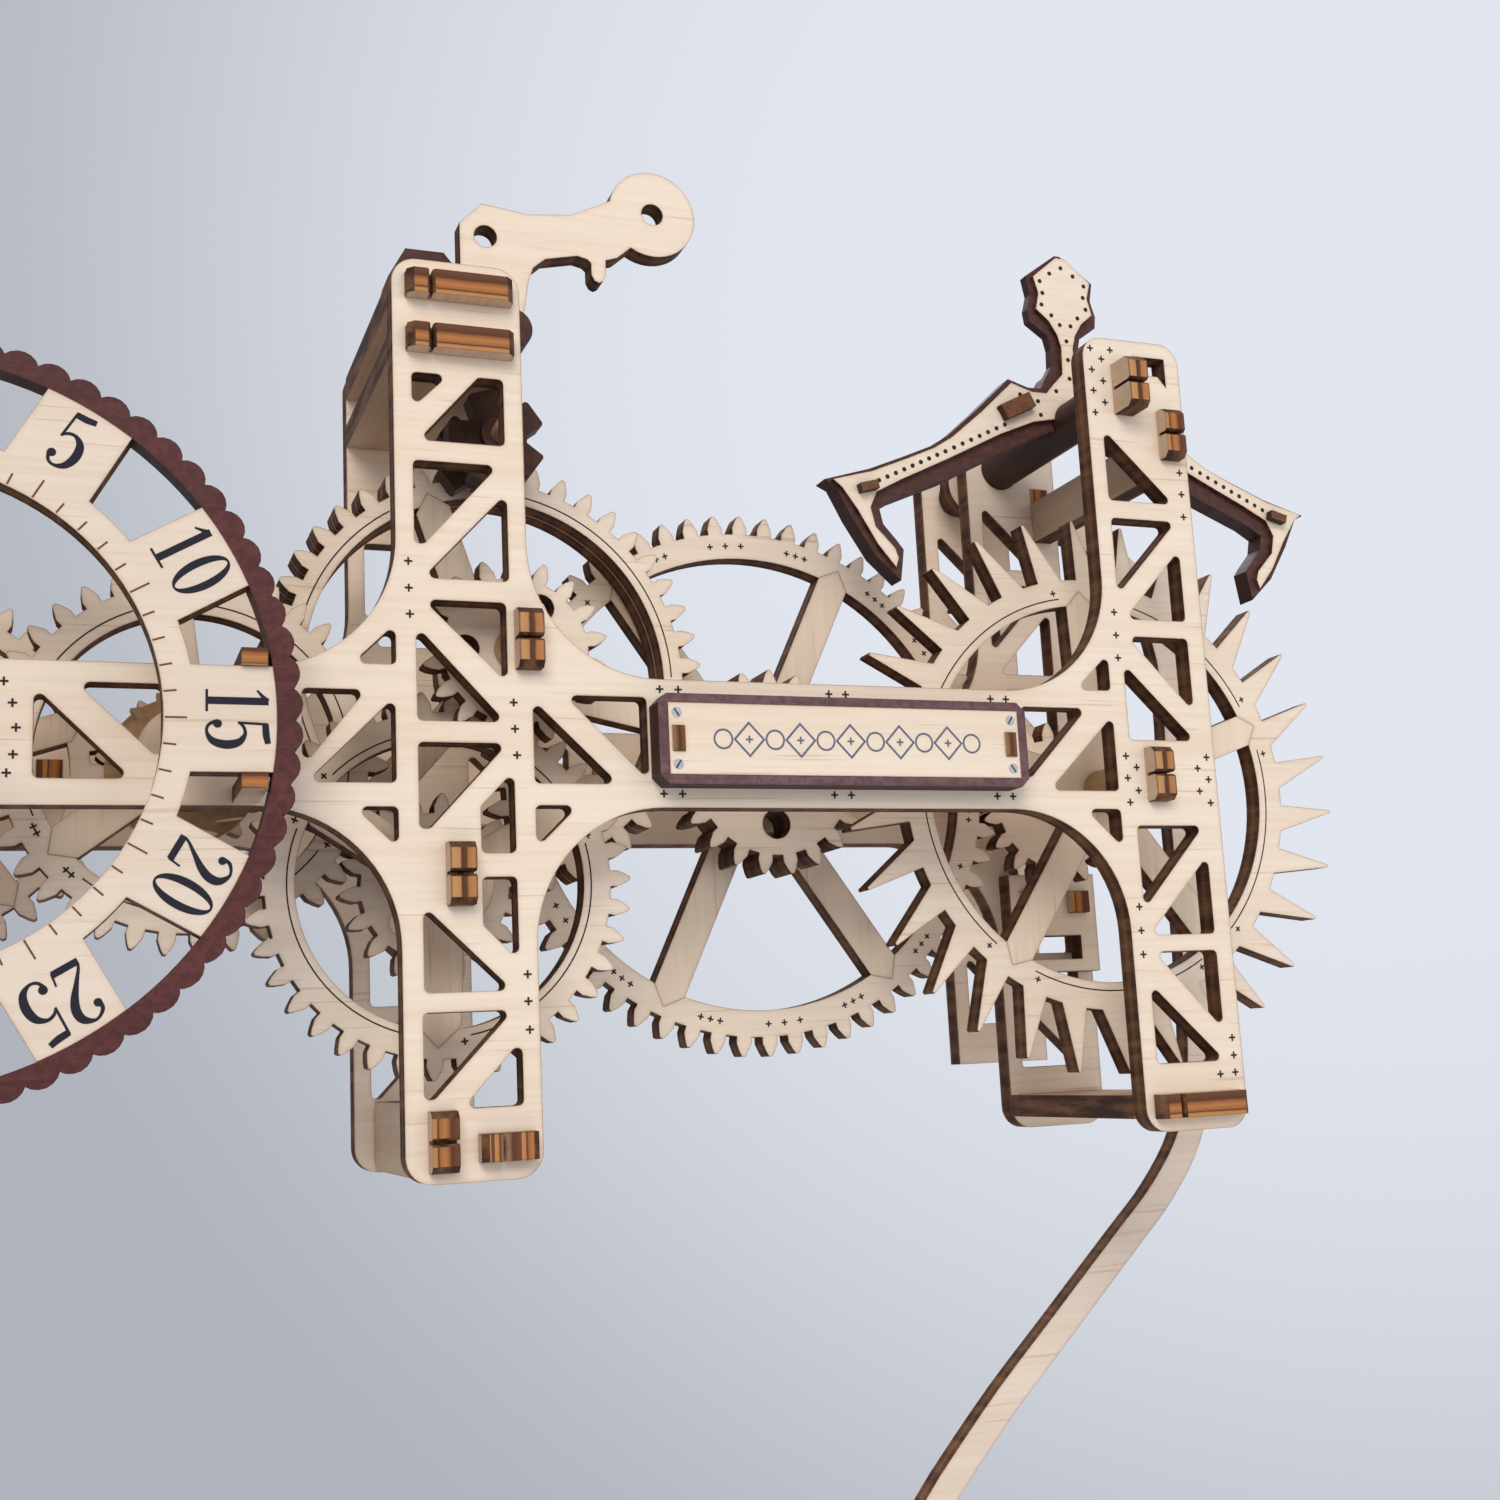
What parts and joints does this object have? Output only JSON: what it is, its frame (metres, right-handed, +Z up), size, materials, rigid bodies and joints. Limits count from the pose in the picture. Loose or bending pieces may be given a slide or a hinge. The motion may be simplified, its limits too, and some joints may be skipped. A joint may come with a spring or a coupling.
{
  "type": "wooden mechanical wall clock model",
  "caption": "open-frame wooden wall clock kit: lattice plates, coupled gear train, ring dial with hands, escape wheel, anchor and a sinuous swinging pendulum",
  "frame": {"origin": "on the wall plane, behind the dial's centre and level with the middle of the beam", "axes": "+X right along the beam as seen from the front, +Z up, the front faces -Y and the wall is y = 0"},
  "size_m": [0.3097, 0.0924, 0.353],
  "materials": {
    "birch_ply": "bare sanded birch plywood",
    "pale_ply": "bare pale plywood",
    "charred_ply": "laser-charred plywood edge",
    "mahogany_stain": "dark mahogany stain, satin",
    "turned_beech": "turned dowel, bare"
  },
  "bodies": {
    "frame": {"front_plate": "birch_ply", "rear_plate": "birch_ply", "wall_plate": "birch_ply", "struts_top_left": "charred_ply", "struts_foot_left": "charred_ply", "strut_top_right": "charred_ply", "strut_foot_right": "charred_ply", "strut_dial_end": "charred_ply", "wall_spacers": "charred_ply", "axle_keys": "charred_ply", "axles": "turned_beech", "stub_collars": "mahogany_stain", "bridge_plate": "birch_ply", "bridge_tabs": "charred_ply", "hook_arm": "birch_ply", "top_block": "mahogany_stain", "plaque_frame": "mahogany_stain", "plaque_panel": "pale_ply", "plaque_pins": "charred_ply", "dial_posts": "charred_ply", "dial_ring": "pale_ply", "dial_rim": "mahogany_stain"},
    "centre": {"centre_arbor": "turned_beech", "centre_wheel": "birch_ply", "centre_spokes": "pale_ply", "cannon_pinion": "turned_beech", "minute_hand": "mahogany_stain"},
    "hour": {"hour_wheel": "birch_ply", "hour_hand": "mahogany_stain"},
    "motion": {"minute_wheel": "birch_ply", "minute_pinion": "turned_beech"},
    "great": {"great_sleeve": "turned_beech", "great_wheel": "birch_ply", "great_spokes": "pale_ply", "great_pinion_gear": "birch_ply", "cord_drum": "charred_ply"},
    "second": {"second_sleeve": "turned_beech", "second_wheel": "birch_ply", "second_spokes": "pale_ply", "second_pinion": "birch_ply"},
    "third": {"third_sleeve": "turned_beech", "third_wheel": "birch_ply", "third_spokes": "pale_ply", "third_pinion": "birch_ply", "front_pinion": "birch_ply"},
    "fourth": {"fourth_sleeve": "turned_beech", "fourth_wheel": "birch_ply", "fourth_spokes": "pale_ply", "fourth_pinion": "birch_ply"},
    "escape": {"escape_sleeve": "turned_beech", "escape_wheel": "birch_ply", "escape_spokes": "pale_ply", "escape_pinion": "birch_ply"},
    "roller": {"cord_roller": "charred_ply"},
    "pendulum": {"anchor_face": "pale_ply", "anchor_body": "mahogany_stain", "anchor_pins": "charred_ply", "anchor_sleeve": "turned_beech", "pendulum_rod": "pale_ply", "pendulum_bob": "mahogany_stain"}
  },
  "joints": [
    {"name": "fourth_turn", "type": "hinge", "parent": "frame", "child": "fourth", "pos_m": [0.13903, 0, 0], "axis": [0, 1, 0], "continuous": true},
    {"name": "escape_turn", "type": "hinge", "parent": "frame", "child": "escape", "pos_m": [0.2013, 0, -0.0041], "axis": [0, 1, 0], "continuous": true},
    {"name": "third_turn", "type": "hinge", "parent": "frame", "child": "third", "pos_m": [0.08865, 0, 0.0158], "axis": [0, 1, 0], "continuous": true},
    {"name": "second_turn", "type": "hinge", "parent": "frame", "child": "second", "pos_m": [0.0773, 0, -0.02047], "axis": [0, 1, 0], "continuous": true},
    {"name": "great_turn", "type": "hinge", "parent": "frame", "child": "great", "pos_m": [0.03999, 0, 0], "axis": [0, 1, 0], "continuous": true},
    {"name": "centre_turn", "type": "hinge", "parent": "frame", "child": "centre", "pos_m": [0, 0, 0], "axis": [0, 1, 0], "continuous": true},
    {"name": "motion_turn", "type": "hinge", "parent": "frame", "child": "motion", "pos_m": [-0.02, 0, 0], "axis": [0, 1, 0], "continuous": true},
    {"name": "hour_turn", "type": "hinge", "parent": "frame", "child": "hour", "pos_m": [0, 0, 0], "axis": [0, 1, 0], "continuous": true},
    {"name": "roller_turn", "type": "hinge", "parent": "frame", "child": "roller", "pos_m": [0.0872, 0, 0.0522], "axis": [0, 1, 0], "continuous": true},
    {"name": "pendulum_swing", "type": "hinge", "parent": "frame", "child": "pendulum", "pos_m": [0.2013, 0, 0.067], "axis": [0, 1, 0], "range_deg": [-1.5, 1.5]}
  ],
  "couplings": [
    {"joint": "escape_turn", "follows": "fourth_turn", "ratio": -3.3333},
    {"joint": "third_turn", "follows": "fourth_turn", "ratio": -0.46667},
    {"joint": "second_turn", "follows": "fourth_turn", "ratio": 0.14737},
    {"joint": "great_turn", "follows": "fourth_turn", "ratio": -0.069806},
    {"joint": "centre_turn", "follows": "fourth_turn", "ratio": 0.029917},
    {"joint": "motion_turn", "follows": "fourth_turn", "ratio": -0.0099723},
    {"joint": "hour_turn", "follows": "fourth_turn", "ratio": 0.0024931}
  ]
}
